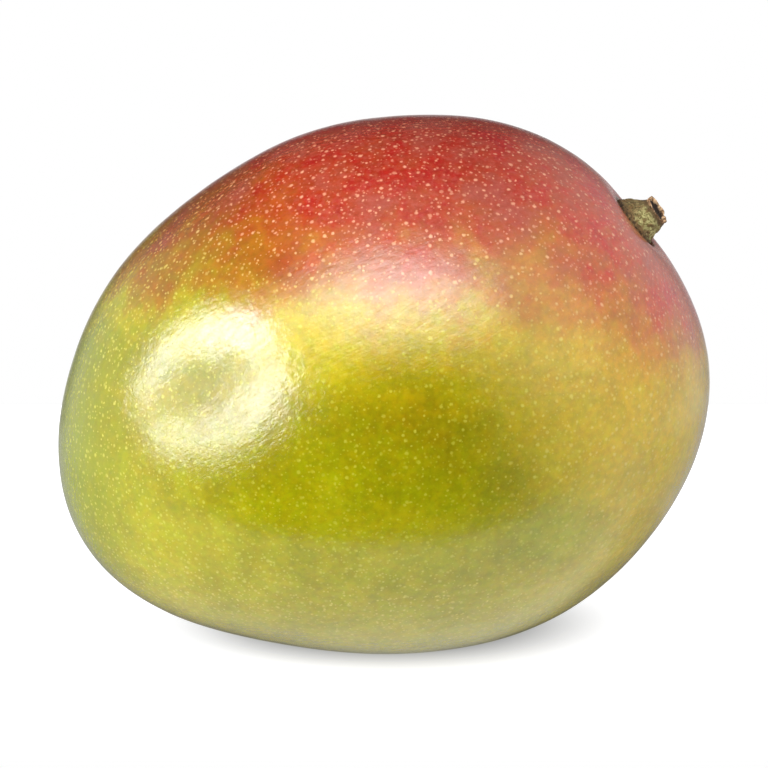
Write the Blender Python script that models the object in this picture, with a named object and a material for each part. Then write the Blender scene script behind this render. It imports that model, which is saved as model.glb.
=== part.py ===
"""A ripe mango lying on its side on a small flat spot, with the stub of its stem still in it.

The fruit is one grown piece. The stem stub is a woody piece of its own, set in a shallow
round socket at the bottom of the stem hollow. Metres, Z up, seen from the front along +Y.
The middle of the flat spot is at the origin.
"""
import math

import bmesh
import bpy
from mathutils import Matrix, Vector

# The fruit: its outline seen from the front is a circle with a few broad waves added.
# Each wave is how many bumps it has round the outline, how high, and where the first one is.
OUTLINE_RADIUS = 0.05575
LONG_AXIS_WAVE = (2, 0.1, 13.6)
EGG_WAVE = (3, 0.0318, -37.7)
SQUARE_WAVE = (4, 0.0122, 22.5)
BLUNT_WAVE = (5, 0.0102, -5.6)
FLANK_WAVE = (7, 0.0062, 3.5)
HALF_THICKNESS = 0.0455
STEM_END_FULLER = 0.05
CENTRE_HEIGHT = 0.0491

# The hollow round the stem
STEM_AT_DEGREES = 35.3
HOLLOW_DEPTH = 0.0026
HOLLOW_WIDTH = 0.0045

# The socket in the fruit and the stem stub that sits in it
SOCKET_RADIUS = 0.0055
SOCKET_FLOOR = 0.0540
STEM_GAP = 0.0003
STEM_LENGTH = 0.0079
COLLAR_RADIUS = 0.0052
CUT_RADIUS = 0.00275
STEM_SAG = 0.0006

# How finely the two pieces are divided
RINGS_NEAR_STEM = 16
RINGS_REST = 44
FRUIT_SIDES = 72
STEM_SIDES = 48


def clear_scene():
    for old in list(bpy.data.objects):
        bpy.data.objects.remove(old, do_unlink=True)


def stem_direction():
    angle = math.radians(STEM_AT_DEGREES)
    return Vector((math.cos(angle), 0.0, math.sin(angle)))


def wave(direction, bumps, height, first_degrees):
    """How much one wave swells the fruit in this direction. It fades out toward the front and the back."""
    across = complex(direction.x, direction.z)
    turned = (across ** bumps) * complex(
        math.cos(math.radians(bumps * first_degrees)),
        -math.sin(math.radians(bumps * first_degrees)),
    )
    return height * turned.real


def skin_point(direction):
    """The point of the fruit's skin in a direction from its centre, measured from the centre."""
    swell = 1.0
    for bumps, height, first_degrees in (
        LONG_AXIS_WAVE, EGG_WAVE, SQUARE_WAVE, BLUNT_WAVE, FLANK_WAVE
    ):
        swell += wave(direction, bumps, height, first_degrees)
    toward_stem = direction.dot(stem_direction())
    thickness = HALF_THICKNESS * (1.0 + STEM_END_FULLER * toward_stem)
    point = Vector((
        OUTLINE_RADIUS * swell * direction.x,
        thickness * swell * direction.y,
        OUTLINE_RADIUS * swell * direction.z,
    ))
    along = point.dot(stem_direction())
    if along > 0.0:
        off_axis = (point - along * stem_direction()).length
        dip = HOLLOW_DEPTH * math.exp(-0.5 * (off_axis / HOLLOW_WIDTH) ** 2)
        point -= dip * stem_direction()
    return point


def spun(profile, sides):
    """A bmesh made by spinning a profile of (radius, height) points a full turn about Z."""
    bm = bmesh.new()
    points = [bm.verts.new((radius, 0.0, height)) for radius, height in profile]
    edges = [bm.edges.new(pair) for pair in zip(points, points[1:])]
    bmesh.ops.spin(
        bm, geom=points + edges, cent=(0, 0, 0), axis=(0, 0, 1),
        angle=math.tau, steps=sides, use_merge=True,
    )
    bmesh.ops.remove_doubles(bm, verts=bm.verts, dist=1e-6)
    bmesh.ops.recalc_face_normals(bm, faces=bm.faces)
    return bm


def finish_object(bm, name, material):
    for face in bm.faces:
        face.smooth = True
    mesh = bpy.data.meshes.new(name)
    bm.to_mesh(mesh)
    bm.free()
    obj = bpy.data.objects.new(name, mesh)
    bpy.context.scene.collection.objects.link(obj)
    if material is not None:
        mesh.materials.append(material)
    return obj


def plain_material(name, colour, roughness):
    material = bpy.data.materials.new(name)
    material.use_nodes = True
    shader = material.node_tree.nodes["Principled BSDF"]
    shader.inputs["Base Color"].default_value = (*colour, 1.0)
    shader.inputs["Roughness"].default_value = roughness
    shader.inputs["Metallic"].default_value = 0.0
    return material


def ring_angles():
    """Angles from the stem end to the far tip, closer together in and round the stem hollow."""
    edge = math.radians(16.0)
    near = [edge * i / RINGS_NEAR_STEM for i in range(RINGS_NEAR_STEM)]
    rest = [edge + (math.pi - edge) * i / RINGS_REST for i in range(RINGS_REST + 1)]
    return near + rest


def place_on_stem(distance):
    """The matrix that turns Z onto the stem's direction and moves it out from the fruit's centre."""
    turn = Matrix.Rotation(math.radians(90.0 - STEM_AT_DEGREES), 4, "Y")
    start = Vector((0, 0, CENTRE_HEIGHT)) + distance * stem_direction()
    return Matrix.Translation(start) @ turn


def make_fruit(material):
    profile = [(math.sin(angle), math.cos(angle)) for angle in ring_angles()]
    bm = spun(profile, FRUIT_SIDES)
    turn = Matrix.Rotation(math.radians(90.0 - STEM_AT_DEGREES), 3, "Y")
    for vert in bm.verts:
        vert.co = skin_point((turn @ vert.co).normalized()) + Vector((0, 0, CENTRE_HEIGHT))
    cut = bmesh.ops.bisect_plane(
        bm, geom=bm.verts[:] + bm.edges[:] + bm.faces[:],
        plane_co=(0, 0, 0), plane_no=(0, 0, -1), clear_outer=True,
    )
    rim = [item for item in cut["geom_cut"] if isinstance(item, bmesh.types.BMEdge)]
    bmesh.ops.contextual_create(bm, geom=rim)
    bmesh.ops.recalc_face_normals(bm, faces=bm.faces)
    return finish_object(bm, "mango_fruit", material)


def bore_socket(fruit):
    bm = bmesh.new()
    depth = 0.012
    bmesh.ops.create_cone(
        bm, cap_ends=True, segments=STEM_SIDES,
        radius1=SOCKET_RADIUS, radius2=SOCKET_RADIUS, depth=depth,
        matrix=place_on_stem(SOCKET_FLOOR + depth / 2),
    )
    cutter = finish_object(bm, "socket_cutter", None)
    cutter.hide_render = True
    cutter.display_type = "WIRE"
    bore = fruit.modifiers.new("socket", "BOOLEAN")
    bore.operation = "DIFFERENCE"
    bore.solver = "EXACT"
    bore.object = cutter


def stem_profile():
    """The stub's outline from the middle of its root up to the middle of its hollow torn end."""
    return [
        (0.0, 0.0),
        (0.60 * COLLAR_RADIUS, 0.0),
        (0.94 * COLLAR_RADIUS, 0.0),
        (COLLAR_RADIUS, 0.0003),
        (COLLAR_RADIUS, 0.0011),
        (COLLAR_RADIUS, 0.0019),
        (0.96 * COLLAR_RADIUS, 0.0025),
        (0.86 * COLLAR_RADIUS, 0.0032),
        (0.77 * COLLAR_RADIUS, 0.0042),
        (0.65 * COLLAR_RADIUS, 0.0053),
        (0.54 * COLLAR_RADIUS, 0.0063),
        (0.51 * COLLAR_RADIUS, 0.0068),
        (CUT_RADIUS, 0.0072),
        (CUT_RADIUS, STEM_LENGTH - 0.0002),
        (0.88 * CUT_RADIUS, STEM_LENGTH),
        (0.70 * CUT_RADIUS, STEM_LENGTH - 0.0003),
        (0.35 * CUT_RADIUS, STEM_LENGTH - 0.0005),
        (0.0, STEM_LENGTH - 0.0005),
    ]


def make_stem(material):
    bm = spun(stem_profile(), STEM_SIDES)
    for vert in bm.verts:
        above_collar = max(0.0, vert.co.z / STEM_LENGTH - 0.25)
        above_middle = max(0.0, 2.0 * vert.co.z / STEM_LENGTH - 1.0)
        angle = math.atan2(vert.co.y, vert.co.x)
        lump = 0.035 * math.sin(3 * angle + 0.6) + 0.02 * math.sin(5 * angle + 2.0)
        grown = 1.0 + lump * min(1.0, 3.0 * above_collar)
        sag = STEM_SAG * math.sin(0.75 * math.pi * above_middle)
        vert.co = Vector((vert.co.x * grown + sag, vert.co.y * grown, vert.co.z))
    bm.transform(place_on_stem(SOCKET_FLOOR + STEM_GAP))
    return finish_object(bm, "stem_stub", material)


clear_scene()
skin = plain_material("skin", (0.62, 0.33, 0.05), 0.32)
wood = plain_material("stem", (0.20, 0.14, 0.06), 0.85)
mango = make_fruit(skin)
bore_socket(mango)
make_stem(wood)
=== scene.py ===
# %% [markdown]
# # A ripe mango on a white board
#
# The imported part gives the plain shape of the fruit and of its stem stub. This lesson dresses
# both: a finer skin with its colours, pores and wax, a rough little stump, and the soft studio
# light that makes them readable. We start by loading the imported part, which never moves.

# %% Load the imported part
import math

import bmesh
import bpy
from mathutils import Matrix, Vector, noise


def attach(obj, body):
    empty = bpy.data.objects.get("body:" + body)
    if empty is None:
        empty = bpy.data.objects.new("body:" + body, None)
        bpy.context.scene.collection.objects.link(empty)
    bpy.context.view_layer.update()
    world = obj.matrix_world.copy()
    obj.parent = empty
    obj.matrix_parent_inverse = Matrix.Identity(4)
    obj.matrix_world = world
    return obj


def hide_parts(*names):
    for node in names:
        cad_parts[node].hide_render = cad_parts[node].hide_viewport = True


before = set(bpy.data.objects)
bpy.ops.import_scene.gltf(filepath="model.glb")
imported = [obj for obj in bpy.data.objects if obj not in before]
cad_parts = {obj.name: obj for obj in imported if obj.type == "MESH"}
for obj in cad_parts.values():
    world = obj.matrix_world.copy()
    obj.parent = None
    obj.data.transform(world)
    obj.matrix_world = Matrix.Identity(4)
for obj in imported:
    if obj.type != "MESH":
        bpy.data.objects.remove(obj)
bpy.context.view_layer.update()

# %% [markdown]
# ## The shape of the skin
#
# A mango is a lopsided egg. Seen from the front its outline is a circle with a few broad waves
# added: two bumps make it long, three make it egg-shaped, and the higher ones blunt the ends.
# Each wave is given by how many bumps it has, how high they are and at how many degrees the
# first one sits. A sculpted egg would do too, but these are the same named sizes as in the
# solid part, so the fine skin lies on the plain one.

# %% The fruit's own sizes, in metres
OUTLINE_RADIUS = 0.05575
WAVES = (
    (2, 0.1, 13.6), (3, 0.0318, -37.7), (4, 0.0122, 22.5), (5, 0.0102, -5.6), (7, 0.0062, 3.5))
HALF_THICKNESS = 0.0455
STEM_END_FULLER = 0.05
CENTRE = Vector((0.0, 0.0, 0.0491))
STEM_AT = math.radians(35.3)
TO_STEM = Vector((math.cos(STEM_AT), 0.0, math.sin(STEM_AT)))
HOLLOW_DEPTH = 0.0026
HOLLOW_WIDTH = 0.0045
SOCKET_RADIUS = 0.0055
SOCKET_FLOOR = 0.0540
SOCKET_MOUTH = 0.0579


def swell(direction):
    """How far the outline's waves push the skin out in this direction, as a factor."""
    across = complex(direction.x, direction.z)
    total = 1.0
    for bumps, height, first in WAVES:
        turned = across ** bumps * complex(
            math.cos(math.radians(bumps * first)), -math.sin(math.radians(bumps * first)))
        total += height * turned.real
    return total


def skin_point(direction):
    """The point of the skin in a direction from the fruit's centre."""
    size = swell(direction)
    thick = HALF_THICKNESS * (1.0 + STEM_END_FULLER * direction.dot(TO_STEM))
    point = Vector((
        OUTLINE_RADIUS * size * direction.x,
        thick * size * direction.y,
        OUTLINE_RADIUS * size * direction.z))
    along = point.dot(TO_STEM)
    if along > 0.0:
        off_axis = (point - along * TO_STEM).length
        point -= HOLLOW_DEPTH * math.exp(-0.5 * (off_axis / HOLLOW_WIDTH) ** 2) * TO_STEM
    return point


print("stem hollow's floor is", round(1000 * skin_point(TO_STEM).length, 1), "mm from the centre")

# %% [markdown]
# ## Spinning the fine skin
#
# A half circle spun a full turn gives a ball whose pole can sit where the stem is, so the rings
# of the mesh run round the stem hollow instead of across it. Each corner of the ball is then
# moved out to the skin. The rings start at the mouth of the socket and are closer together
# there. A ball with its pole at the top would need many more faces to draw the small hollow.

# %% Spin a ball with its pole at the stem
SIDES = 240
FIRST_ANGLE = math.asin(SOCKET_RADIUS / SOCKET_MOUTH)
NEAR_EDGE = math.radians(18.0)
NEAR_RINGS = 30
FAR_RINGS = 170


def spun(profile, sides):
    """A mesh made by turning a line of (radius, height) points once round Z."""
    bm = bmesh.new()
    points = [bm.verts.new((radius, 0.0, height)) for radius, height in profile]
    edges = [bm.edges.new(pair) for pair in zip(points, points[1:])]
    bmesh.ops.spin(
        bm, geom=points + edges, cent=(0, 0, 0), axis=(0, 0, 1),
        angle=math.tau, steps=sides, use_merge=True)
    bmesh.ops.remove_doubles(bm, verts=bm.verts, dist=1e-6)
    bmesh.ops.recalc_face_normals(bm, faces=bm.faces)
    return bm


angles = [FIRST_ANGLE + (NEAR_EDGE - FIRST_ANGLE) * i / NEAR_RINGS for i in range(NEAR_RINGS)]
angles += [NEAR_EDGE + (math.pi - NEAR_EDGE) * i / FAR_RINGS for i in range(FAR_RINGS + 1)]
skin_mesh = spun([(math.sin(angle), math.cos(angle)) for angle in angles], SIDES)
print("ball of", len(skin_mesh.faces), "faces")

# %% [markdown]
# The real skin isn't as even as the waves make it. It has shallow dents and rises a finger
# wide, which is why the reflection of a straight-edged lamp comes out wobbly. They could be
# sculpted by hand. Here a smooth noise pushes the skin in by a fraction of a millimetre. It
# only ever pushes in, so the skin stays inside the solid part. It fades out at the flat spot
# and at the stem, down to the few hundredths of a millimetre that are taken off everywhere.

# %% Dents in the skin
DENT_DEPTH = 0.0003
DENT_SIZE = 0.016
SMALL_DENTS_FINER = 3.1
ALWAYS_IN = 0.00004
NO_DENTS_BELOW = 0.001
NO_DENTS_ROUND_STEM = 0.006
DENTS_GROW_OVER = 0.006


def unevenness(point):
    """How far the skin is pushed in here, in metres."""
    broad = 0.5 + 0.5 * noise.noise(point / DENT_SIZE)
    small = 0.5 + 0.5 * noise.noise(point / DENT_SIZE * SMALL_DENTS_FINER + Vector((7, 3, 5)))
    height = point.z + CENTRE.z
    off_axis = (point - point.dot(TO_STEM) * TO_STEM).length
    from_stem = off_axis if point.dot(TO_STEM) > 0 else 1.0
    share = min(1.0, max(0.0, height - NO_DENTS_BELOW) / DENTS_GROW_OVER)
    share *= min(1.0, max(0.0, from_stem - NO_DENTS_ROUND_STEM) / DENTS_GROW_OVER)
    return DENT_DEPTH * share * (0.75 * broad + 0.25 * small) + ALWAYS_IN


print("dents are up to", round(1000 * (DENT_DEPTH + ALWAYS_IN), 2), "mm deep")

# %% [markdown]
# The fruit is thinner from front to back than it is high, which would squeeze the rings of the
# mesh into ovals round the stem. So close to the stem the rings are first widened a little.

# %% Move the ball's corners out to the skin
WIDER_BY = 0.166
WIDER_WITHIN = 0.5
turn_to_stem = Matrix.Rotation(math.pi / 2 - STEM_AT, 3, "Y")
for vert in skin_mesh.verts:
    direction = turn_to_stem @ vert.co
    off_axis = math.acos(max(-1.0, min(1.0, vert.co.z)))
    direction.y *= 1.0 + WIDER_BY * math.exp(-((off_axis / WIDER_WITHIN) ** 2))
    point = skin_point(direction.normalized())
    vert.co = point - unevenness(point) * point.normalized() + CENTRE
print("skin is", round(1000 * max(vert.co.x for vert in skin_mesh.verts), 1), "mm out to the right")

# %% [markdown]
# The stub stands in a shallow round socket, in place of the spot where it grew into the fruit.
# A cylinder could be cut out of the skin, but the open ring at the stem is simply pulled inward:
# it is first made a true circle, then extruded down to the socket's floor and closed. A small
# bevel rounds the skin's edge there.

# %% Sink the socket
SOCKET_EDGE = 0.0004
rim = [edge for edge in skin_mesh.edges if edge.is_boundary]
for vert in {corner for edge in rim for corner in edge.verts}:
    offset = vert.co - CENTRE
    along = offset.dot(TO_STEM)
    sideways = offset - along * TO_STEM
    vert.co = CENTRE + along * TO_STEM + sideways.normalized() * SOCKET_RADIUS
wall = bmesh.ops.extrude_edge_only(skin_mesh, edges=rim)
lower = [item for item in wall["geom"] if isinstance(item, bmesh.types.BMVert)]
for vert in lower:
    sideways = (vert.co - CENTRE) - (vert.co - CENTRE).dot(TO_STEM) * TO_STEM
    vert.co = CENTRE + SOCKET_FLOOR * TO_STEM + sideways
floor_edges = [edge for edge in skin_mesh.edges if edge.is_boundary]
bmesh.ops.contextual_create(skin_mesh, geom=floor_edges)
bmesh.ops.bevel(
    skin_mesh, geom=rim, offset=SOCKET_EDGE, segments=3, profile=0.5,
    affect="EDGES", material=-1)
print("socket sunk", round(1000 * (skin_point(TO_STEM).length - SOCKET_FLOOR), 1), "mm")

# %% [markdown]
# A ripe fruit gives a little under its own weight and so lies on a small flat spot. A level cut
# at height zero takes off what would be below the board, and one face closes the opening.

# %% Cut the small flat spot the fruit lies on
cut = bmesh.ops.bisect_plane(
    skin_mesh, geom=skin_mesh.verts[:] + skin_mesh.edges[:] + skin_mesh.faces[:],
    plane_co=(0, 0, 0), plane_no=(0, 0, -1), clear_outer=True)
spot_rim = [item for item in cut["geom_cut"] if isinstance(item, bmesh.types.BMEdge)]
bmesh.ops.contextual_create(skin_mesh, geom=spot_rim)
bmesh.ops.recalc_face_normals(skin_mesh, faces=skin_mesh.faces)
print("flat spot has", len(spot_rim), "edges")

# %% [markdown]
# A finished piece is an object at the origin with smooth faces, where only edges sharper than 40
# degrees stay sharp. It rides on the part's one body, and the solid of the packed part that it
# stands for is hidden.

# %% Turn a mesh into a finished piece
SHARP_ANGLE = math.radians(40)


def piece(bm, name, replaced):
    """Gives the mesh an object at the origin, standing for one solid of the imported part."""
    for face in bm.faces:
        face.smooth = True
    mesh = bpy.data.meshes.new(name)
    bm.to_mesh(mesh)
    bm.free()
    mesh.set_sharp_from_angle(angle=SHARP_ANGLE)
    made = bpy.data.objects.new(name, mesh)
    bpy.context.scene.collection.objects.link(made)
    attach(made, "root")
    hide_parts(replaced)
    return made


fruit = piece(skin_mesh, "fruit_skin", "mango_fruit")
print(fruit.name, len(fruit.data.polygons), "faces")

# %% [markdown]
# ## Small helpers for materials
#
# A material is a graph of nodes. These helpers each add one node and hand back its output, so
# that the recipes below read almost like sums. Everything is placed by Object coordinates, in
# millimetres, so a pattern stays on the fruit from every side.


# %% Node helpers
def plug(tree, socket, value):
    """Wires a node's output into a socket, or sets a plain value there."""
    if isinstance(value, bpy.types.NodeSocket):
        tree.links.new(value, socket)
    else:
        socket.default_value = value


def maths(tree, operation, *values):
    """One sum with one, two or three numbers."""
    made = tree.nodes.new("ShaderNodeMath")
    made.operation = operation
    for socket, value in zip(made.inputs, values):
        plug(tree, socket, value)
    return made.outputs[0]


def fade(tree, value, start, end, low=0.0, high=1.0):
    """Goes smoothly from low at start to high at end."""
    made = tree.nodes.new("ShaderNodeMapRange")
    made.interpolation_type = "SMOOTHSTEP"
    for name, number in (
            ("Value", value), ("From Min", start), ("From Max", end),
            ("To Min", low), ("To Max", high)):
        plug(tree, made.inputs[name], number)
    return made.outputs["Result"]


def mixed(tree, amount, first, second, kind="MIX"):
    """One colour laid over another."""
    made = tree.nodes.new("ShaderNodeMix")
    made.data_type = "RGBA"
    made.blend_type = kind
    plug(tree, made.inputs["Factor"], amount)
    for socket, colour in ((made.inputs[6], first), (made.inputs[7], second)):
        plug(tree, socket, colour if isinstance(colour, bpy.types.NodeSocket) else (*colour, 1.0))
    return made.outputs[2]


def clouds(tree, place, size, detail=2.0, roughness=0.5):
    """Soft noise from 0 to 1 whose patches are about size millimetres wide."""
    made = tree.nodes.new("ShaderNodeTexNoise")
    plug(tree, made.inputs["Vector"], place)
    made.inputs["Scale"].default_value = 1.0 / size
    made.inputs["Detail"].default_value = detail
    made.inputs["Roughness"].default_value = roughness
    return made.outputs["Fac"]


def tremble(tree, place, size):
    """Noise with three values at once, each from 0 to 1, to shift places by."""
    made = tree.nodes.new("ShaderNodeTexNoise")
    plug(tree, made.inputs["Vector"], place)
    made.inputs["Scale"].default_value = 1.0 / size
    return made.outputs["Color"]


def vectors(tree, operation, *values):
    """One sum with vectors. Dot products and lengths come out as numbers."""
    made = tree.nodes.new("ShaderNodeVectorMath")
    made.operation = operation
    for socket, value in zip(made.inputs, values):
        plug(tree, socket, value)
    return made.outputs["Value" if operation in ("DOT_PRODUCT", "LENGTH") else "Vector"]


def scaled(tree, vector, amount):
    """A vector made longer or shorter."""
    made = tree.nodes.new("ShaderNodeVectorMath")
    made.operation = "SCALE"
    plug(tree, made.inputs[0], vector)
    plug(tree, made.inputs["Scale"], amount)
    return made.outputs["Vector"]


def ramp(tree, value, stops):
    """Colours at given heights, blended in between."""
    made = tree.nodes.new("ShaderNodeValToRGB")
    plug(tree, made.inputs["Fac"], value)
    band = made.color_ramp
    while len(band.elements) < len(stops):
        band.elements.new(0.5)
    for element, (position, colour) in zip(band.elements, stops):
        element.position = position
        element.color = (*colour, 1.0)
    return made.outputs["Color"]


def new_material(name):
    """A new material with its node tree and its main shader."""
    made = bpy.data.materials.new(name)
    made.use_nodes = True
    return made, made.node_tree, made.node_tree.nodes["Principled BSDF"]


def millimetres(tree):
    """The place on the piece in millimetres from the fruit's centre, whole and as x, y and z."""
    where = tree.nodes.new("ShaderNodeTexCoord")
    middle = vectors(tree, "SUBTRACT", where.outputs["Object"], tuple(CENTRE))
    place = vectors(tree, "MULTIPLY", middle, (1000.0, 1000.0, 1000.0))
    split = tree.nodes.new("ShaderNodeSeparateXYZ")
    tree.links.new(place, split.inputs[0])
    return place, split.outputs["X"], split.outputs["Y"], split.outputs["Z"]


print("node helpers ready")

# %% [markdown]
# ## The colours of the skin
#
# The side that hung in the sun blushes red. Below it the colour runs through orange and a
# narrow yellow band to olive green. That could be painted by hand on a flat map, but here one
# number does most of the work: the height on the fruit. It is bent so that the red comes much
# lower by the stem and a little lower at the tip's shoulder, and stirred with three sizes of
# noise so that its edge is cloudy.

# %% The height that the blush follows
skin_material, tree, skin_shader = new_material("mango_skin")
place, x, y, z = millimetres(tree)
right_drop = maths(tree, "MULTIPLY", fade(tree, x, 30.0, 60.0, 0.0, 22.0), fade(tree, z, 3.0, 18.0))
lean = maths(tree, "MULTIPLY_ADD", x, 0.07, fade(tree, x, -25.0, -50.0, 0.0, 6.0))
stir = maths(tree, "MULTIPLY_ADD", clouds(tree, place, 20.0, 3.0), 14.0, -7.0)
middle_stir = maths(tree, "MULTIPLY_ADD", clouds(tree, place, 9.5, 4.0, 0.6), 14.0, -7.0)
fine_stir = maths(tree, "MULTIPLY_ADD", clouds(tree, place, 5.0, 5.0, 0.6), 12.0, -6.0)
blush_height = maths(tree, "ADD", z, right_drop)
for part_of_it in (lean, stir, middle_stir, fine_stir):
    blush_height = maths(tree, "ADD", blush_height, part_of_it)
print("blush height wired")

# %% [markdown]
# Two lists of colours are laid on by that height, one for the middle and the tip of the fruit
# and one for the stem end, which is paler and warmer. Each colour has the height in millimetres,
# from the fruit's centre, where it is at its purest.

# %% Colours from the underside up to the crown
LOWEST, HIGHEST = -50.0, 60.0
KHAKI = (0.40, 0.36, 0.03)
GREEN_KHAKI = (0.32, 0.30, 0.005)
OLIVE = (0.25, 0.243, 0.0)
DEEP_OLIVE = (0.21, 0.19, 0.0)
OLIVE_YELLOW = (0.27, 0.22, 0.0)
YELLOW = (0.36, 0.27, 0.003)
AMBER = (0.34, 0.155, 0.01)
ORANGE = (0.31, 0.07, 0.012)
RED = (0.29, 0.038, 0.012)
DEEP_RED = (0.29, 0.02, 0.012)
PALE_KHAKI = (0.50, 0.43, 0.06)
CREAM = (0.62, 0.48, 0.04)
TAN = (0.56, 0.41, 0.01)
DEEP_TAN = (0.54, 0.36, 0.006)
PEACH = (0.52, 0.27, 0.012)
PALE_ORANGE = (0.45, 0.15, 0.02)
PALE_RED = (0.45, 0.065, 0.03)
MIDDLE_COLOURS = (
    (-38, KHAKI), (-24, GREEN_KHAKI), (-8, OLIVE), (4, DEEP_OLIVE), (14, OLIVE_YELLOW),
    (22, YELLOW), (28, AMBER), (35, ORANGE), (42, RED), (51, DEEP_RED))
STEM_END_COLOURS = (
    (-38, PALE_KHAKI), (-22, CREAM), (-8, TAN), (14, DEEP_TAN), (26, PEACH), (34, PALE_ORANGE),
    (43, PALE_RED))


def up_the_fruit(colours):
    """The colours laid on by blush height, each at its own height in millimetres."""
    share = maths(tree, "DIVIDE", maths(tree, "SUBTRACT", blush_height, LOWEST), HIGHEST - LOWEST)
    stops = [((height - LOWEST) / (HIGHEST - LOWEST), colour) for height, colour in colours]
    return ramp(tree, share, stops)


toward_stem = fade(tree, x, 13.0, 50.0)
base = mixed(tree, toward_stem, up_the_fruit(MIDDLE_COLOURS), up_the_fruit(STEM_END_COLOURS))
print("colours laid up the fruit")

# %% [markdown]
# The tip end never got the bright yellow band: there the orange darkens to brown and runs
# straight into green. Cloudy patches of darker olive break up the whole skin, large and small,
# and a fine mottle makes it a little greener here and a little warmer there. Each layer
# multiplies the colour below it, so that the blush still shows through.

# %% A darker tip end and cloudy patches
DULL_TIP = (0.70, 0.84, 0.4)
DARK_PATCH = (0.66, 0.64, 0.5)
DARK_FLECK = (0.62, 0.60, 0.5)
GREENER = (1.10, 1.17, 0.8)
WARMER = (1.24, 1.14, 0.9)
below_crown = maths(
    tree, "MULTIPLY", fade(tree, blush_height, 6.0, 15.0), fade(tree, blush_height, 52.0, 42.0))
tip_shade = maths(tree, "MULTIPLY", fade(tree, x, -14.0, -34.0), below_crown)
base = mixed(tree, tip_shade, base, DULL_TIP, "MULTIPLY")
broad_patches = fade(tree, clouds(tree, place, 9.0, 5.0, 0.6), 0.40, 0.68, 0.0, 0.45)
base = mixed(tree, broad_patches, base, DARK_PATCH, "MULTIPLY")
flecks = fade(tree, clouds(tree, place, 1.5, 5.0, 0.7), 0.38, 0.64, 0.0, 0.4)
base = mixed(tree, flecks, base, DARK_FLECK, "MULTIPLY")
mottle = fade(tree, clouds(tree, place, 2.4, 6.0, 0.72), 0.38, 0.62)
mottle = mixed(tree, mottle, GREENER, WARMER)
base = mixed(tree, 1.0, base, mottle, "MULTIPLY")
print("patches laid over")

# %% [markdown]
# A mango wears its own wax. In the red, the skin is crimson where the wax is thin and dull pink
# where it is thick, with a fine pink bloom of small flecks. Low at the tip end the skin is a little
# paler.

# %% Wax patches and bloom
THIN_WAX = (0.95, 0.25, 0.5)
THICK_WAX = (0.34, 0.085, 0.058)
PINK_BLOOM = (0.44, 0.11, 0.08)
PALER = (1.12, 1.10, 1.2)
in_the_red = fade(tree, blush_height, 31.0, 43.0)
wax = clouds(tree, place, 9.0, 5.0, 0.65)
thin_wax = maths(tree, "MULTIPLY", fade(tree, wax, 0.52, 0.38, 0.0, 0.85), in_the_red)
base = mixed(tree, thin_wax, base, THIN_WAX, "MULTIPLY")
thick_wax = maths(tree, "MULTIPLY", fade(tree, wax, 0.48, 0.66, 0.0, 0.4), in_the_red)
base = mixed(tree, thick_wax, base, THICK_WAX)
bloom = fade(tree, clouds(tree, place, 1.1, 4.0, 0.7), 0.44, 0.66, 0.0, 0.24)
base = mixed(tree, maths(tree, "MULTIPLY", bloom, in_the_red), base, PINK_BLOOM)
left_below = maths(tree, "MULTIPLY", fade(tree, x, -26.0, -44.0), fade(tree, z, 12.0, 0.0))
base = mixed(tree, left_below, base, PALER, "MULTIPLY")
print("wax patches laid over")

# %% [markdown]
# The tip itself is a fresher green, and a few single blotches catch the eye: a dark one right
# of the middle, a fainter one in the middle, a burnt orange one in the blush, a bright yellow
# one at the left of the middle and a grey-green cloud low at the right. Each is given by its
# x and z, its reach and the colour that the skin is multiplied by. They lie on the front only.

# %% The green tip and five blotches
TIP_GREEN = (0.165, 0.205, 0.01)
BLOTCHES = (
    (21.0, -4.0, 9.0, (0.78, 0.80, 0.6)),
    (7.0, 7.0, 10.0, (0.92, 0.86, 0.7)),
    (-18.0, 32.0, 7.0, (0.85, 0.62, 0.4)),
    (-13.0, 17.0, 12.0, (1.30, 1.36, 0.8)),
    (31.0, -17.0, 14.0, (0.80, 0.93, 0.8)))
ragged_x = maths(tree, "ADD", x, maths(tree, "MULTIPLY", fine_stir, 0.8))
green_tip = fade(tree, ragged_x, -42.0, -60.0, 0.0, 0.75)
green_tip = maths(tree, "MULTIPLY", green_tip, fade(tree, blush_height, 24.0, 10.0))
base = mixed(tree, green_tip, base, TIP_GREEN)
in_front = fade(tree, y, -10.0, -30.0)
for blotch_x, blotch_z, reach, shade in BLOTCHES:
    spot = vectors(tree, "SUBTRACT", place, (blotch_x, 0.0, blotch_z))
    spot = vectors(tree, "MULTIPLY", spot, (1.0, 0.0, 1.3))
    spread = maths(tree, "ADD", vectors(tree, "LENGTH", spot), fine_stir)
    spread = maths(tree, "MULTIPLY", fade(tree, spread, reach, 0.3 * reach), in_front)
    base = mixed(tree, spread, base, shade, "MULTIPLY")
print("tip and blotches laid over")

# %% [markdown]
# Where the stem leaves the fruit, the skin ends in a narrow rim of brown cork. It is drawn by
# how far a spot is from the stem's axis, on the stem's side only.

# %% A corky brown scar round the stem
CORK = (0.10, 0.05, 0.02)
along = vectors(tree, "DOT_PRODUCT", place, tuple(TO_STEM))
along_axis = scaled(tree, tuple(TO_STEM), along)
from_axis = vectors(tree, "SUBTRACT", place, along_axis)
off_axis = vectors(tree, "LENGTH", from_axis)
off_axis = maths(tree, "ADD", off_axis, maths(tree, "MULTIPLY", fine_stir, 0.1))
round_stem = fade(tree, off_axis, 6.6, 5.7, 0.0, 0.85)
scar = maths(tree, "MULTIPLY", round_stem, fade(tree, along, 20.0, 40.0))
base = mixed(tree, scar, base, CORK)
print("scar laid round the stem")

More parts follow.
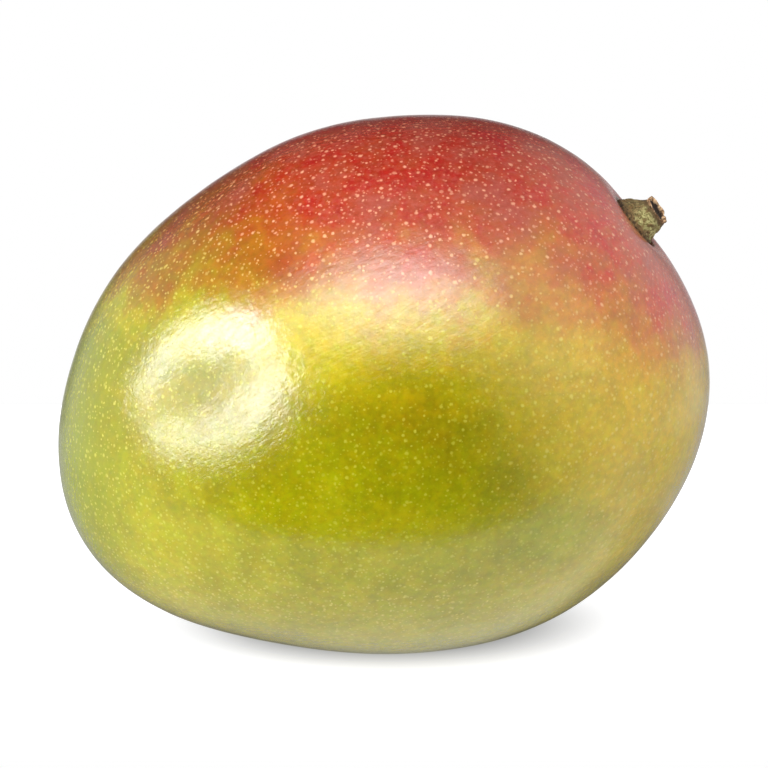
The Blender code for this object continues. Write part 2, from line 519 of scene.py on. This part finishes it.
# %% [markdown]
# ## Pores
#
# A mango's skin is sprinkled with lenticels, corky pores that show as pale dots. They come from
# points scattered through space: each point near the skin is dropped straight onto it, and a
# dot is drawn round the place where it lands, a little shaken so that its edge isn't a perfect
# circle. Cutting the skin through solid noise would give ovals and halves instead. Straight out
# of the skin is worked out for a plain egg of the fruit's proportions, which is close enough.

# %% Scatter round dots
PLAIN_EGG = (1.0, 1.75, 1.35)
outward = vectors(tree, "NORMALIZE", vectors(tree, "MULTIPLY", place, PLAIN_EGG))
shake = vectors(tree, "SUBTRACT", tremble(tree, place, 0.7), (0.5, 0.5, 0.5))
shaken = vectors(tree, "ADD", place, vectors(tree, "MULTIPLY", shake, (0.4, 0.4, 0.4)))


def dots(spacing, radius, reach):
    """Round dots on the skin, 1 inside and 0 outside, from points within reach of the skin.

    Each point's own random colour makes its dot larger or smaller, and stronger or weaker.
    """
    points = tree.nodes.new("ShaderNodeTexVoronoi")
    plug(tree, points.inputs["Vector"], place)
    points.inputs["Scale"].default_value = 1.0 / spacing
    points.inputs["Randomness"].default_value = 0.8
    offset = vectors(tree, "SUBTRACT", points.outputs["Position"], shaken)
    depth = vectors(tree, "DOT_PRODUCT", offset, outward)
    straight = vectors(tree, "DOT_PRODUCT", offset, offset)
    aside = maths(tree, "SUBTRACT", straight, maths(tree, "MULTIPLY", depth, depth))
    aside = maths(tree, "SQRT", aside)
    luck = tree.nodes.new("ShaderNodeSeparateColor")
    tree.links.new(points.outputs["Color"], luck.inputs[0])
    size = maths(tree, "MULTIPLY_ADD", luck.outputs[0], 0.6 * radius, 0.55 * radius)
    disc = fade(tree, maths(tree, "DIVIDE", aside, size), 1.3, 0.35)
    near = fade(tree, maths(tree, "ABSOLUTE", depth), reach, 0.8 * reach)
    strength = maths(tree, "MULTIPLY_ADD", luck.outputs[1], 0.5, 0.5)
    return maths(tree, "MULTIPLY", maths(tree, "MULTIPLY", disc, near), strength)


large_dots = dots(spacing=2.1, radius=0.36, reach=0.95)
small_dots = dots(spacing=1.2, radius=0.23, reach=0.5)
print("lenticels scattered")

# %% [markdown]
# The dots are pinkish cream on the red, yellow-green on the green, and cream by the stem and low
# down. The small ones show least in the green middle and most low down, toward the tip and in
# the red.

# %% Colour the lenticels
GREEN_DOT = (0.52, 0.51, 0.045)
CREAM_DOT = (0.80, 0.66, 0.18)
PINK_DOT = (0.74, 0.37, 0.21)
red_share = fade(tree, blush_height, 24.0, 38.0)
red_share = maths(tree, "MULTIPLY", red_share, fade(tree, x, -50.0, -22.0, 0.3, 1.0))
to_cream = fade(tree, x, -20.0, -52.0, 0.0, 0.3)
to_cream = maths(tree, "MAXIMUM", fade(tree, z, -10.0, -36.0, 0.0, 0.9), to_cream)
to_cream = maths(tree, "MAXIMUM", toward_stem, to_cream)
pale_dots = mixed(tree, to_cream, GREEN_DOT, CREAM_DOT)
dot_colour = mixed(tree, red_share, pale_dots, PINK_DOT)
toward_tip = fade(tree, x, 5.0, -45.0, 0.24, 0.55)
low_down = fade(tree, z, 0.0, -34.0, 0.24, 0.7)
small_in_red = maths(tree, "MULTIPLY", red_share, 0.45)
small_share = maths(tree, "MAXIMUM", toward_tip, low_down)
small_share = maths(tree, "MAXIMUM", small_share, small_in_red)
large_amount = maths(tree, "MULTIPLY", large_dots, fade(tree, red_share, 0.0, 1.0, 0.45, 0.75))
small_amount = maths(tree, "MULTIPLY", small_dots, small_share)
skin_colour = mixed(tree, large_amount, base, dot_colour)
skin_colour = mixed(tree, small_amount, skin_colour, dot_colour)
tree.links.new(skin_colour, skin_shader.inputs["Base Color"])
print("lenticels coloured")

# %% [markdown]
# ## Wax and fine wrinkles
#
# The skin is waxy: a soft gloss over the colour, and a clearer coat on it that is worn thinner
# on the wrinkles. The fine wrinkles, like hairs laid along the fruit, show most where a lamp is
# reflected. They are noise stretched along the stem's axis, used as a bump, which tilts the
# light without adding faces. Real wrinkles that fine would need millions of faces.

# %% Wrinkles that run from the tip to the stem
round_axis = vectors(tree, "NORMALIZE", from_axis)
fibre_place = vectors(tree, "ADD", scaled(tree, round_axis, 45.0), scaled(tree, along_axis, 0.38))
wrinkles = clouds(tree, fibre_place, 0.9, 5.0, 0.7)
print("wrinkles wired")

# %% Gloss and bump
skin_shader.inputs["Roughness"].default_value = 0.2
skin_shader.inputs["IOR"].default_value = 1.45
skin_shader.inputs["Specular IOR Level"].default_value = 0.6
skin_shader.inputs["Coat Roughness"].default_value = 0.09
tree.links.new(fade(tree, wrinkles, 0.36, 0.62, 1.0, 0.5), skin_shader.inputs["Coat Weight"])
grain = clouds(tree, place, 0.5, 2.0)
dimples = clouds(tree, place, 2.2, 2.0)
relief = maths(tree, "MULTIPLY_ADD", wrinkles, 0.65, maths(tree, "MULTIPLY", grain, 0.2))
relief = maths(tree, "MULTIPLY_ADD", dimples, 0.8, relief)
relief = maths(tree, "MULTIPLY_ADD", large_dots, 0.08, relief)
bump = tree.nodes.new("ShaderNodeBump")
bump.inputs["Distance"].default_value = 0.0001
bump.inputs["Strength"].default_value = 0.85
tree.links.new(relief, bump.inputs["Height"])
for socket in ("Normal", "Coat Normal"):
    tree.links.new(bump.outputs["Normal"], skin_shader.inputs[socket])
fruit.data.materials.append(skin_material)
print("skin material done")

# %% [markdown]
# ## The stem stub
#
# The stub is a corky collar, a short grey-green stump and a torn, flared end where it broke
# from the twig. It is spun from its own outline, given as shares of the collar's radius and
# heights in metres, with its lines cut into short steps so that noise can shape them.

# %% Spin the stub
STEM_GAP = 0.0003
STEM_LENGTH = 0.0079
COLLAR_RADIUS = 0.0052
CUT_RADIUS = 0.00275
STEM_SIDES = 120
STEM_STEP = 0.00018
CUT_SHARE = CUT_RADIUS / COLLAR_RADIUS
STEM_OUTLINE = (
    (0.0, 0.0), (0.60, 0.0), (0.94, 0.0), (1.0, 0.0003), (1.0, 0.0019), (0.96, 0.0025),
    (0.86, 0.0032), (0.77, 0.0042), (0.65, 0.0053), (0.54, 0.0063), (0.51, 0.0068),
    (CUT_SHARE, 0.0072), (CUT_SHARE, STEM_LENGTH - 0.0001),
    (0.88 * CUT_SHARE, STEM_LENGTH - 0.0001), (0.70 * CUT_SHARE, STEM_LENGTH - 0.0011),
    (0.30 * CUT_SHARE, STEM_LENGTH - 0.0015), (0.0, STEM_LENGTH - 0.0015))


def finer(outline, step):
    """The same outline with a point at least every step metres."""
    points = [outline[0]]
    for start, end in zip(outline, outline[1:]):
        count = max(1, math.ceil(math.dist(start, end) / step))
        points += [
            (start[0] + (end[0] - start[0]) * i / count, start[1] + (end[1] - start[1]) * i / count)
            for i in range(1, count + 1)]
    return points


stem_profile = finer(
    [(share * COLLAR_RADIUS, height) for share, height in STEM_OUTLINE], STEM_STEP)
stem_mesh = spun(stem_profile, STEM_SIDES)
print("stub spun from", len(stem_profile), "points")

# %% [markdown]
# The stub isn't a lathe's work: it has a few broad lumps and a slight bend, which the solid
# part has too, and rough bark. Its torn end slants and its rim stands up unevenly, which only
# shortens it. The bark stands out by a fiftieth of the radius at most, and where the collar is
# widest not at all, so that the gap round it in the socket stays open.

# %% Roughen the stub and tear its end
STEM_SAG = 0.0006
LUMPS = ((3, 0.035, 0.6), (5, 0.02, 2.0))
BARK = ((0.0011, 0.06), (0.0004, 0.03))
BARK_LIMIT = 0.02
COLLAR_TOP = 0.0022
TORN_FROM = 0.80
SLANT = 0.0011
RAGS = 0.0004
RAGS_ROUND_RIM = 2.6
RAGS_ACROSS_RIM = 7.0
for vert in stem_mesh.verts:
    radius = math.hypot(vert.co.x, vert.co.y)
    angle = math.atan2(vert.co.y, vert.co.x)
    above_collar = max(0.0, vert.co.z / STEM_LENGTH - 0.25)
    above_middle = max(0.0, 2.0 * vert.co.z / STEM_LENGTH - 1.0)
    lump = sum(height * math.sin(count * angle + first) for count, height, first in LUMPS)
    bark = sum(depth * noise.noise(vert.co / size) for size, depth in BARK)
    shrink = bark - BARK_LIMIT if radius > 0.3 * COLLAR_RADIUS else 0.0
    if vert.co.z < COLLAR_TOP:
        shrink = min(0.0, shrink)
    grown = 1.0 + lump * min(1.0, 3.0 * above_collar) + min(BARK_LIMIT, shrink)
    torn = max(0.0, vert.co.z / STEM_LENGTH - TORN_FROM) / (1.0 - TORN_FROM)
    round_rim = Vector((math.cos(angle), math.sin(angle), 0.0)) * RAGS_ROUND_RIM
    across_rim = Vector((0.0, 0.0, RAGS_ACROSS_RIM * radius / CUT_RADIUS))
    ragged = noise.noise(round_rim + across_rim)
    forward = 0.5 - 0.5 * vert.co.y / CUT_RADIUS
    drop = SLANT * torn * forward + RAGS * torn * (0.5 - ragged)
    sag = STEM_SAG * math.sin(0.75 * math.pi * above_middle)
    vert.co = Vector((vert.co.x * grown + sag, vert.co.y * grown, vert.co.z - max(0.0, drop)))
stem_mesh.transform(
    Matrix.Translation(CENTRE + (SOCKET_FLOOR + STEM_GAP) * TO_STEM) @ turn_to_stem.to_4x4())
stem = piece(stem_mesh, "stem_stump", "stem_stub")
print(stem.name, len(stem.data.polygons), "faces")

# %% [markdown]
# The collar is brown cork. Low down, where it sits in the socket and meets the fruit, it is
# near-black, partly from crevices in the cork and partly from painted shade. The stump is
# grey-green with dry lichen, most of it on the side that faces down. How far along the stem a spot
# is decides between them, and noise makes the border between them ragged.

# %% Bark, lichen, crevices and painted shade
DARK_BARK, PALE_BARK = (0.055, 0.028, 0.008), (0.26, 0.16, 0.06)
DARK_LICHEN, PALE_LICHEN = (0.15, 0.12, 0.025), (0.52, 0.48, 0.20)
BROWN_SPOT = (0.16, 0.085, 0.025)
CREVICE_AND_SHADE = (0.03, 0.015, 0.006)
stem_material, tree, stem_shader = new_material("stem_bark")
place, x, y, z = millimetres(tree)
along = vectors(tree, "DOT_PRODUCT", place, tuple(TO_STEM))
blotches = clouds(tree, place, 1.3, 4.0, 0.65)
speckle = clouds(tree, place, 0.45, 3.0, 0.65)
edge_of_collar = maths(tree, "ADD", along, maths(tree, "MULTIPLY_ADD", blotches, 5.0, -2.5))
bark_colour = mixed(tree, fade(tree, speckle, 0.38, 0.62), DARK_BARK, PALE_BARK)
lichen = mixed(tree, fade(tree, speckle, 0.36, 0.60), DARK_LICHEN, PALE_LICHEN)
upper_side = vectors(tree, "DOT_PRODUCT", place, (-TO_STEM.z, 0.0, TO_STEM.x))
upper_side = maths(tree, "MULTIPLY_ADD", blotches, 4.0, maths(tree, "SUBTRACT", upper_side, 2.0))
lichen_share = fade(tree, upper_side, 2.6, 0.8, 0.25, 1.0)
lichen_share = maths(tree, "MULTIPLY", fade(tree, edge_of_collar, 57.0, 57.7), lichen_share)
colour = mixed(tree, lichen_share, bark_colour, lichen)
brown_spots = fade(tree, clouds(tree, place, 0.9, 2.0), 0.52, 0.62, 0.0, 0.8)
colour = mixed(tree, brown_spots, colour, BROWN_SPOT)
# Near-black low on the collar, inside the socket: crevices and painted shade.
crevices_and_painted_shade = maths(tree, "MULTIPLY", fade(tree, blotches, 0.44, 0.56), fade(tree, along, 57.4, 56.5))
colour = mixed(tree, crevices_and_painted_shade, colour, CREVICE_AND_SHADE)
print("bark, lichen and crevices laid")

# %% [markdown]
# The torn end is pale orange fibre round a dark hollow. Its middle is a little off the stem's
# axis, because the stub is bent, so a spot's place is first measured from there. Outside the
# rim the fibre turns brown, and just under it runs a darker band.

# %% Torn fibre round the hollow
BENT_BY = (0.24, 0.0, -0.34)
RIM_BAND = (0.10, 0.055, 0.02)
FIBRE_COLOURS = (
    (0.34, (0.05, 0.024, 0.01)), (0.44, (0.36, 0.19, 0.085)), (0.54, (0.76, 0.50, 0.28)))
HOLLOW_COLOUR = (0.02, 0.01, 0.005)
OUTSIDE_COLOUR = (0.15, 0.08, 0.03)
under_rim = maths(tree, "MULTIPLY", fade(tree, along, 59.7, 60.4), fade(tree, along, 61.3, 60.9))
colour = mixed(tree, maths(tree, "MULTIPLY", under_rim, 0.85), colour, RIM_BAND)
from_axis = vectors(tree, "SUBTRACT", place, scaled(tree, tuple(TO_STEM), along))
from_axis = vectors(tree, "SUBTRACT", from_axis, BENT_BY)
drawn_out = scaled(tree, tuple(TO_STEM), maths(tree, "MULTIPLY", along, 0.35))
fibres = clouds(tree, vectors(tree, "ADD", from_axis, drawn_out), 0.7, 4.0, 0.65)
torn_colour = ramp(tree, fibres, FIBRE_COLOURS)
off_axis = maths(tree, "SUBTRACT", vectors(tree, "LENGTH", from_axis), 0.35)
off_axis = maths(tree, "MULTIPLY_ADD", fibres, 0.7, off_axis)
torn_colour = mixed(tree, fade(tree, off_axis, 2.35, 2.1), torn_colour, HOLLOW_COLOUR)
outside = fade(tree, off_axis, 2.65, 2.85, 0.0, 0.8)
torn_colour = mixed(tree, outside, torn_colour, OUTSIDE_COLOUR)
colour = mixed(tree, fade(tree, along, 60.6, 60.9), colour, torn_colour)
tree.links.new(colour, stem_shader.inputs["Base Color"])
print("torn end coloured")

# %% [markdown]
# Dry bark has hardly any gloss. The same two noises that colour it also raise it as a bump.

# %% Dry, rough bark
stem_shader.inputs["Roughness"].default_value = 0.85
stem_bump = tree.nodes.new("ShaderNodeBump")
stem_bump.inputs["Distance"].default_value = 0.0004
stem_bump.inputs["Strength"].default_value = 1.0
tree.links.new(maths(tree, "ADD", blotches, speckle), stem_bump.inputs["Height"])
tree.links.new(stem_bump.outputs["Normal"], stem_shader.inputs["Normal"])
stem.data.materials.append(stem_material)
print("stem material done")

# %% [markdown]
# ## Board and backdrop
#
# The photograph has plain white all round and only a thin shadow under the fruit. The glossy
# underside mirrors what really lay there: a white board that ends about 65 mm in front of the
# fruit's middle, with the dark room beyond it. It is one flat face.

# %% A white board
BOARD_HALF_WIDTH = 0.16
BOARD_FRONT, BOARD_BACK = -0.066, 0.17
board_mesh = bmesh.new()
bmesh.ops.create_grid(board_mesh, x_segments=1, y_segments=1, size=1.0)
bmesh.ops.scale(
    board_mesh, vec=(BOARD_HALF_WIDTH, (BOARD_BACK - BOARD_FRONT) / 2, 1.0), verts=board_mesh.verts)
bmesh.ops.translate(
    board_mesh, vec=(0.0, (BOARD_BACK + BOARD_FRONT) / 2, 0.0), verts=board_mesh.verts)
board_data = bpy.data.meshes.new("board")
board_mesh.to_mesh(board_data)
board_mesh.free()
board = bpy.data.objects.new("board", board_data)
bpy.context.scene.collection.objects.link(board)
print("board ends", round(-1000 * BOARD_FRONT), "mm in front of the fruit's middle")

# %% [markdown]
# To the camera the board is lit up to plain white, as a light table is, all but the spot round the
# fruit: there the glow fades out, which paints a shadow darker than the lamps alone leave on the
# board's grey. To the fruit it glows less, and more at the right than at the left, so that the
# underside mirrors it as softly as in the photograph.

# %% Light the board up to white, with a painted shadow round the fruit
board_material, tree, board_shader = new_material("white_board")
place, x, y, z = millimetres(tree)
from_spot = vectors(tree, "SUBTRACT", place, (0.0, 12.0, 0.0))
from_spot = vectors(tree, "MULTIPLY", from_spot, (1.0, 1.45, 0.0))
distance = vectors(tree, "LENGTH", from_spot)
seen = tree.nodes.new("ShaderNodeLightPath").outputs["Is Camera Ray"]
in_front = fade(tree, y, 0.0, -20.0)
lit_side = maths(tree, "MAXIMUM", in_front, fade(tree, distance, 70.0, 90.0, 0.0, 0.3))
from_right = maths(tree, "MULTIPLY", fade(tree, x, -50.0, 50.0, 0.2, 0.55), lit_side)
# Near the fruit the glow to the camera fades to nothing: a painted shadow over the real one.
camera_glow_with_painted_shadow = maths(tree, "MULTIPLY", seen, fade(tree, distance, 10.0, 52.0))
to_fruit = maths(tree, "MULTIPLY", from_right, maths(tree, "SUBTRACT", 1.0, seen))
board_glow = maths(tree, "MAXIMUM", camera_glow_with_painted_shadow, to_fruit)
board_shader.inputs["Base Color"].default_value = (0.29, 0.295, 0.32, 1.0)
board_shader.inputs["Roughness"].default_value = 0.9
board_shader.inputs["Emission Color"].default_value = (1.0, 1.0, 1.0, 1.0)
tree.links.new(board_glow, board_shader.inputs["Emission Strength"])
board_data.materials.append(board_material)
print("board lit")

# %% [markdown]
# The camera sees plain white behind the fruit. Everything else sees the room: nearly dark in
# front, a big pale reflector at the right, a smaller one at the left, light from a wall and
# the ceiling, and the foot of the lit backdrop. Each is a soft round glow: an azimuth and an
# elevation, how closely one must look that way for it to start and to be full, and a strength.

# %% The room
world = bpy.data.worlds.new("studio")
world.use_nodes = True
sky = world.node_tree
looking = sky.nodes.new("ShaderNodeTexCoord").outputs["Generated"]


def toward(azimuth, elevation):
    """The direction at an azimuth, from the camera's side to the right, and an elevation."""
    flat = math.cos(math.radians(elevation))
    return Vector((
        flat * math.sin(math.radians(azimuth)),
        -flat * math.cos(math.radians(azimuth)),
        math.sin(math.radians(elevation))))


DARK_ROOM = 0.05
RIGHT_REFLECTOR = (95, 3, 0.15, 0.98, 0.85)
LEFT_REFLECTOR = (-102, -10, 0.45, 0.92, 0.65)
WALL_AT_THE_RIGHT = (45, 30, 0.75, 1.0, 0.7)
CEILING = (0, 65, 0.65, 0.98, 0.5)
FOOT_OF_BACKDROP = (180, -17, 0.94, 0.985, 0.6)
room = DARK_ROOM
for azimuth, elevation, edge, full, strength in (
        RIGHT_REFLECTOR, LEFT_REFLECTOR, WALL_AT_THE_RIGHT, CEILING, FOOT_OF_BACKDROP):
    facing = vectors(sky, "DOT_PRODUCT", looking, tuple(toward(azimuth, elevation)))
    room = maths(sky, "ADD", fade(sky, facing, edge, full, 0.0, strength), room)
seen = sky.nodes.new("ShaderNodeLightPath").outputs["Is Camera Ray"]
white_to_camera = maths(sky, "MULTIPLY_ADD", seen, maths(sky, "SUBTRACT", 1.0, room), room)
sky.links.new(white_to_camera, sky.nodes["Background"].inputs["Strength"])
sky.nodes["Background"].inputs["Color"].default_value = (1.0, 1.0, 1.0, 1.0)
bpy.context.scene.world = world
print("room lit")

# %% [markdown]
# ## Soft studio light
#
# The fruit itself says where the lamps were: a big eight-sided softbox low at the left, whose
# reflection has a bright rim and a dimmer middle, and a wide soft lamp above the camera.

# %% Area lights
def lamp(name, azimuth, elevation, distance, width, height, watts):
    """An area light looking at the fruit, placed by its direction as seen from the fruit."""
    data = bpy.data.lights.new(name, "AREA")
    data.shape = "RECTANGLE"
    data.size = width
    data.size_y = height
    data.energy = watts
    made = bpy.data.objects.new(name, data)
    outward = toward(azimuth, elevation)
    made.location = CENTRE + distance * outward
    made.rotation_euler = outward.to_track_quat("Z", "Y").to_euler()
    made.visible_camera = False
    bpy.context.scene.collection.objects.link(made)
    return made


key = lamp(
    "key_softbox", azimuth=-59.5, elevation=11, distance=0.6, width=0.60, height=0.51, watts=7.1)
top = lamp(
    "top_lamp", azimuth=-9, elevation=44.5, distance=0.7, width=1.45, height=0.93, watts=7.2)
print([made.name for made in (key, top)])

# %% [markdown]
# An eight-sided lamp is a four-sided one whose corners are switched off. Its own surface
# coordinates run from 0 to 1 both ways, so a few sums tell how near the rim a spot is.

# %% Eight sides for the key light
key.data.use_nodes = True
tree = key.data.node_tree
where = tree.nodes.new("ShaderNodeNewGeometry")
split = tree.nodes.new("ShaderNodeSeparateXYZ")
tree.links.new(where.outputs["Parametric"], split.inputs[0])
sideways = maths(tree, "SUBTRACT", split.outputs["X"], 0.5)
upward = maths(tree, "SUBTRACT", split.outputs["Y"], 0.5)
aside, above = maths(tree, "ABSOLUTE", sideways), maths(tree, "ABSOLUTE", upward)
diagonal = maths(tree, "MULTIPLY", sideways, upward)
corner = maths(tree, "MULTIPLY", diagonal, 0.6)
corner = maths(tree, "MULTIPLY_ADD", maths(tree, "ADD", aside, above), 0.755, corner)
to_rim = maths(tree, "MAXIMUM", corner, maths(tree, "MAXIMUM", aside, above))
inside = fade(tree, maths(tree, "MULTIPLY", to_rim, 2.0), 1.0, 0.95)
print("key light has eight sides")

# %% [markdown]
# The middle of that lamp, where the bulb's own shield sits, is dimmer. The rest is brightest
# toward the corner where both of its own coordinates are high, and dimmest toward the opposite
# corner, here called the lower left, as its reflection in the fruit shows.

# %% The shield and the fall of the key light
SHIELD_HALF_WIDTH, SHIELD_HALF_HEIGHT = 0.29, 0.24
BEHIND_SHIELD, ROUND_SHIELD = 0.26, 1.6
tilt = maths(tree, "MULTIPLY_ADD", sideways, 0.3, maths(tree, "MULTIPLY_ADD", upward, 0.3, 1.0))
tilt = maths(tree, "MULTIPLY_ADD", diagonal, 2.4, tilt)
lower_left = maths(
    tree, "MULTIPLY", fade(tree, upward, -0.15, -0.45), fade(tree, sideways, 0.2, -0.1))
tilt = maths(tree, "MULTIPLY_ADD", lower_left, -0.45, tilt)
beside_shield = maths(tree, "ADD", sideways, maths(tree, "MULTIPLY_ADD", upward, -0.4, 0.03))
beside_shield = maths(tree, "ABSOLUTE", beside_shield)
above_shield = maths(tree, "ABSOLUTE", maths(tree, "ADD", upward, 0.02))
to_shield = maths(
    tree, "MAXIMUM", maths(tree, "DIVIDE", beside_shield, SHIELD_HALF_WIDTH),
    maths(tree, "DIVIDE", above_shield, SHIELD_HALF_HEIGHT))
strength = fade(tree, to_shield, 0.88, 1.12, BEHIND_SHIELD, ROUND_SHIELD)
strength = maths(tree, "MULTIPLY", strength, inside)
strength = maths(tree, "MULTIPLY", strength, tilt)
tree.links.new(strength, tree.nodes["Emission"].inputs["Strength"])
print("shield is", round(BEHIND_SHIELD / ROUND_SHIELD, 2), "as bright as the lamp round it")

# %% [markdown]
# The lamp above shows no edge in its reflection. So it is brightest in its middle and fades out
# all round, as light does that comes through a sheet of white cloth.

# %% Soften the top lamp toward its edges
top.data.use_nodes = True
tree = top.data.node_tree
where = tree.nodes.new("ShaderNodeNewGeometry")
from_middle = vectors(tree, "SUBTRACT", where.outputs["Parametric"], (0.5, 0.5, 0.0))
reach = vectors(tree, "LENGTH", vectors(tree, "MULTIPLY", from_middle, (2.0, 2.0, 0.0)))
glow = maths(tree, "POWER", fade(tree, reach, 1.0, 0.0), 1.6)
tree.links.new(maths(tree, "MULTIPLY", glow, 3.9), tree.nodes["Emission"].inputs["Strength"])
print("top lamp softened")

# %% [markdown]
# ## Camera
#
# A long lens, 15 degrees above level. From so far off, perspective hardly bends the outline,
# and a little of the fruit's top is seen, as in a product photograph. The Standard view
# transform keeps the board plain white.

# %% Camera
CAMERA_DISTANCE = 0.8005
CAMERA_ELEVATION = math.radians(15)
camera_data = bpy.data.cameras.new("camera")
camera_data.lens = 200
camera = bpy.data.objects.new("camera", camera_data)
target = CENTRE + Vector((-0.00037, 0.0, 0.00155))
camera.location = target + CAMERA_DISTANCE * Vector((
    0, -math.cos(CAMERA_ELEVATION), math.sin(CAMERA_ELEVATION)))
camera.rotation_euler = (math.pi / 2 - CAMERA_ELEVATION, 0, 0)
bpy.context.scene.collection.objects.link(camera)
bpy.context.scene.camera = camera
bpy.context.scene.view_settings.view_transform = "Standard"
print("camera is", CAMERA_DISTANCE, "m from the fruit")
